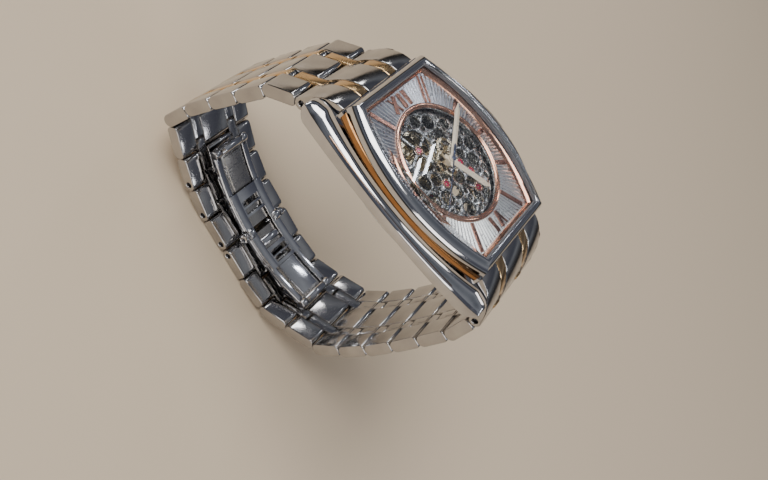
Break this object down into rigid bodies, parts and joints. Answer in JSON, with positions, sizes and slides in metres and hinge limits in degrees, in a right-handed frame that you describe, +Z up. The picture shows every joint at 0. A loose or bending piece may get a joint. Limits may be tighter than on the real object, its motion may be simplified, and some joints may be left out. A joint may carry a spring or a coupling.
{
  "type": "skeleton wristwatch",
  "caption": "Tonneau skeleton wristwatch in steel with rose-gold trim, on a five-row link bracelet closed by a butterfly clasp.",
  "frame": {"origin": "middle of the flat outer face of the link beside the clasp, which the closed watch stands on", "axes": "+X towards 3 o'clock and the crown, +Y towards the 12 o'clock side of the bracelet, +Z up; the dial faces up and leans 15 degrees towards +Y"},
  "size_m": [0.0416, 0.0631, 0.0657],
  "materials": {
    "polished_steel": "polished",
    "brushed_steel": "satin",
    "rose_gold": "polished",
    "brass_gear": "satin",
    "silver_dial": "pleated satin",
    "mineral_glass": "clear",
    "movement_steel": "engraved and satin",
    "ruby": "polished",
    "blued_steel": "blued",
    "black_rubber": "matte"
  },
  "bodies": {
    "case": {"case_middle": "polished_steel", "case_inlay": "rose_gold", "bezel": "polished_steel", "crystal": "mineral_glass", "gaskets": "black_rubber", "dial_flange": "rose_gold", "dial": "silver_dial", "aperture_ring": "rose_gold", "hour_markers": "rose_gold", "case_back": "brushed_steel", "back_crystal": "mineral_glass", "screws": "polished_steel", "end_link_12": "polished_steel", "end_link_6": "polished_steel", "spring_bars": "brushed_steel", "main_plate": "movement_steel", "barrel_bridge": "movement_steel", "train_bridge": "movement_steel", "balance_cock": "movement_steel", "jewels": "ruby", "hairspring": "blued_steel"},
    "barrel": {"barrel": "brass_gear"},
    "center": {"center_wheel": "brass_gear", "minute_hand": "rose_gold"},
    "third": {"third_wheel": "brass_gear"},
    "fourth": {"fourth_wheel": "brass_gear", "seconds_hand": "blued_steel"},
    "escape": {"escape_wheel": "movement_steel"},
    "pallet": {"pallet_fork": "movement_steel"},
    "balance": {"balance_wheel": "brass_gear"},
    "rotor": {"rotor": "movement_steel"},
    "minute_wheel": {"minute_wheel": "brass_gear"},
    "hour": {"hour_hand": "rose_gold"},
    "crown_seal": {"crown_gasket": "black_rubber"},
    "crown": {"crown": "polished_steel", "winding_stem": "brushed_steel"},
    "clasp_blade_12": {"clasp_blade_12": "brushed_steel"},
    "clasp_frame": {"clasp_frame": "polished_steel"},
    "clasp_blade_6": {"clasp_blade_6": "polished_steel"},
    "clasp_button_left": {"clasp_button_left": "polished_steel"},
    "clasp_button_right": {"clasp_button_right": "polished_steel"},
    "link_12_1": {"link_12_1": "polished_steel"},
    "link_12_2": {"link_12_2": "polished_steel"},
    "link_12_3": {"link_12_3": "polished_steel"},
    "link_12_4": {"link_12_4": "polished_steel"},
    "link_12_5": {"link_12_5": "polished_steel"},
    "link_12_6": {"link_12_6": "polished_steel"},
    "link_12_7": {"link_12_7": "polished_steel"},
    "link_12_8": {"link_12_8": "polished_steel"},
    "link_12_9": {"link_12_9": "polished_steel"},
    "link_6_1": {"link_6_1": "polished_steel"},
    "link_6_2": {"link_6_2": "polished_steel"},
    "link_6_3": {"link_6_3": "polished_steel"},
    "link_6_4": {"link_6_4": "polished_steel"},
    "link_6_5": {"link_6_5": "polished_steel"},
    "link_6_6": {"link_6_6": "polished_steel"},
    "link_6_7": {"link_6_7": "polished_steel"},
    "link_6_8": {"link_6_8": "polished_steel"},
    "link_6_9": {"link_6_9": "polished_steel"},
    "link_6_10": {"link_6_10": "polished_steel"}
  },
  "joints": [
    {"name": "minute_spin", "type": "hinge", "parent": "case", "child": "center", "pos_m": [0, -0.00325, 0.05969], "axis": [0, 0.2588, 0.9659], "continuous": true},
    {"name": "seconds_spin", "type": "hinge", "parent": "case", "child": "fourth", "pos_m": [0, -0.00314, 0.06008], "axis": [0, 0.2588, 0.9659], "continuous": true},
    {"name": "hour_spin", "type": "hinge", "parent": "case", "child": "hour", "pos_m": [0, -0.00335, 0.05931], "axis": [0, 0.2588, 0.9659], "continuous": true},
    {"name": "minute_wheel_spin", "type": "hinge", "parent": "case", "child": "minute_wheel", "pos_m": [0.00275, -0.00188, 0.05736], "axis": [0, 0.2588, 0.9659], "continuous": true},
    {"name": "third_spin", "type": "hinge", "parent": "case", "child": "third", "pos_m": [-0.00339, -0.00709, 0.05596], "axis": [0, 0.2588, 0.9659], "continuous": true},
    {"name": "barrel_spin", "type": "hinge", "parent": "case", "child": "barrel", "pos_m": [-0.00361, 0.00052, 0.05382], "axis": [0, 0.2588, 0.9659], "continuous": true},
    {"name": "escape_spin", "type": "hinge", "parent": "case", "child": "escape", "pos_m": [0.0039, -0.00609, 0.05549], "axis": [0, 0.2588, 0.9659], "continuous": true},
    {"name": "pallet_swing", "type": "hinge", "parent": "case", "child": "pallet", "pos_m": [0.00488, -0.00857, 0.05615], "axis": [0, 0.2588, 0.9659], "range_deg": [-3.5, 3.5]},
    {"name": "balance_swing", "type": "hinge", "parent": "case", "child": "balance", "pos_m": [0.00344, -0.01154, 0.05757], "axis": [0, 0.2588, 0.9659], "range_deg": [-220, 220], "stiffness_Nm_per_rad": 0.00000032},
    {"name": "rotor_spin", "type": "hinge", "parent": "case", "child": "rotor", "pos_m": [0, -0.00524, 0.05226], "axis": [0, 0.2588, 0.9659], "continuous": true},
    {"name": "crown_pull", "type": "slide", "parent": "case", "child": "crown_seal", "axis": [1, 0, 0], "range_m": [0, 0.0015]},
    {"name": "crown_spin", "type": "hinge", "parent": "crown_seal", "child": "crown", "pos_m": [0.02, -0.00446, 0.05516], "axis": [1, 0, 0], "continuous": true},
    {"name": "link_12_1_hinge", "type": "hinge", "parent": "case", "child": "link_12_1", "pos_m": [0, 0.01877, 0.04448], "axis": [-1, 0, 0], "range_deg": [-10, 0]},
    {"name": "link_12_2_hinge", "type": "hinge", "parent": "link_12_1", "child": "link_12_2", "pos_m": [0, 0.02328, 0.03849], "axis": [-1, 0, 0], "range_deg": [-28, 0]},
    {"name": "link_12_3_hinge", "type": "hinge", "parent": "link_12_2", "child": "link_12_3", "pos_m": [0, 0.02445, 0.03108], "axis": [-1, 0, 0], "range_deg": [-1, 0]},
    {"name": "link_12_4_hinge", "type": "hinge", "parent": "link_12_3", "child": "link_12_4", "pos_m": [0, 0.0255, 0.02365], "axis": [-1, 0, 0], "range_deg": [-2, 0]},
    {"name": "link_12_5_hinge", "type": "hinge", "parent": "link_12_4", "child": "link_12_5", "pos_m": [0, 0.02628, 0.0162], "axis": [-1, 0, 0], "range_deg": [-7, 0]},
    {"name": "link_12_6_hinge", "type": "hinge", "parent": "link_12_5", "child": "link_12_6", "pos_m": [0, 0.02615, 0.0087], "axis": [-1, 0, 0], "range_deg": [-65, 0]},
    {"name": "link_12_7_hinge", "type": "hinge", "parent": "link_12_6", "child": "link_12_7", "pos_m": [0, 0.0193, 0.00565], "axis": [-1, 0, 0], "range_deg": [-3, 0]},
    {"name": "link_12_8_hinge", "type": "hinge", "parent": "link_12_7", "child": "link_12_8", "pos_m": [0, 0.0123, 0.00296], "axis": [-1, 0, 0], "range_deg": [-9, 0]},
    {"name": "link_12_9_hinge", "type": "hinge", "parent": "link_12_8", "child": "link_12_9", "pos_m": [0, 0.00496, 0.0014], "axis": [-1, 0, 0], "range_deg": [-12, 0]},
    {"name": "clasp_open", "type": "hinge", "parent": "link_12_9", "child": "clasp_blade_12", "pos_m": [0, -0.00254, 0.0014], "axis": [1, 0, 0], "range_deg": [0, 100]},
    {"name": "clasp_frame_hinge_12", "type": "hinge", "parent": "clasp_blade_12", "child": "clasp_frame", "pos_m": [0, 0.01514, 0.0081], "axis": [1, 0, 0], "range_deg": [-100, 0]},
    {"name": "clasp_frame_hinge_6", "type": "hinge", "parent": "clasp_frame", "child": "clasp_blade_6", "pos_m": [0, -0.02326, 0.0081], "axis": [1, 0, 0], "range_deg": [-100, 0]},
    {"name": "clasp_blade_6_hinge", "type": "hinge", "parent": "clasp_blade_6", "child": "link_6_10", "pos_m": [0, -0.00558, 0.0014], "axis": [1, 0, 0], "range_deg": [0, 100]},
    {"name": "link_6_9_hinge", "type": "hinge", "parent": "link_6_10", "child": "link_6_9", "pos_m": [0, -0.01308, 0.0014], "axis": [-1, 0, 0], "range_deg": [-8.9, 0]},
    {"name": "link_6_8_hinge", "type": "hinge", "parent": "link_6_9", "child": "link_6_8", "pos_m": [0, -0.02049, 0.00255], "axis": [-1, 0, 0], "range_deg": [-28.8, 0]},
    {"name": "link_6_7_hinge", "type": "hinge", "parent": "link_6_8", "child": "link_6_7", "pos_m": [0, -0.02643, 0.00714], "axis": [-1, 0, 0], "range_deg": [-5.3, 0]},
    {"name": "link_6_6_hinge", "type": "hinge", "parent": "link_6_7", "child": "link_6_6", "pos_m": [0, -0.03191, 0.01225], "axis": [-1, 0, 0], "range_deg": [-35, 0]},
    {"name": "link_6_5_hinge", "type": "hinge", "parent": "link_6_6", "child": "link_6_5", "pos_m": [0, -0.03347, 0.01959], "axis": [-1, 0, 0], "range_deg": [-8, 0]},
    {"name": "link_6_4_hinge", "type": "hinge", "parent": "link_6_5", "child": "link_6_4", "pos_m": [0, -0.03399, 0.02707], "axis": [-1, 0, 0], "range_deg": [-5, 0]},
    {"name": "link_6_3_hinge", "type": "hinge", "parent": "link_6_4", "child": "link_6_3", "pos_m": [0, -0.03386, 0.03457], "axis": [-1, 0, 0], "range_deg": [-2, 0]},
    {"name": "link_6_2_hinge", "type": "hinge", "parent": "link_6_3", "child": "link_6_2", "pos_m": [0, -0.03347, 0.04206], "axis": [-1, 0, 0], "range_deg": [-1, 0]},
    {"name": "link_6_1_hinge", "type": "hinge", "parent": "link_6_2", "child": "link_6_1", "pos_m": [0, -0.03295, 0.04954], "axis": [-1, 0, 0], "range_deg": [-13, 0]},
    {"name": "clasp_button_left_push", "type": "slide", "parent": "clasp_frame", "child": "clasp_button_left", "axis": [1, 0, 0], "range_m": [0, 0.0007], "stiffness_N_per_m": 1500},
    {"name": "clasp_button_right_push", "type": "slide", "parent": "clasp_frame", "child": "clasp_button_right", "axis": [-1, 0, 0], "range_m": [0, 0.0007], "stiffness_N_per_m": 1500}
  ],
  "couplings": [
    {"joint": "minute_spin", "follows": "seconds_spin", "ratio": 0.016667},
    {"joint": "hour_spin", "follows": "seconds_spin", "ratio": 0.0013889},
    {"joint": "minute_wheel_spin", "follows": "seconds_spin", "ratio": -0.0055556},
    {"joint": "third_spin", "follows": "seconds_spin", "ratio": -0.13333},
    {"joint": "barrel_spin", "follows": "seconds_spin", "ratio": -0.0025641},
    {"joint": "escape_spin", "follows": "seconds_spin", "ratio": -10},
    {"joint": "clasp_frame_hinge_12", "follows": "clasp_open", "ratio": -1},
    {"joint": "clasp_frame_hinge_6", "follows": "clasp_open", "ratio": -1},
    {"joint": "clasp_blade_6_hinge", "follows": "clasp_open", "ratio": 1}
  ]
}
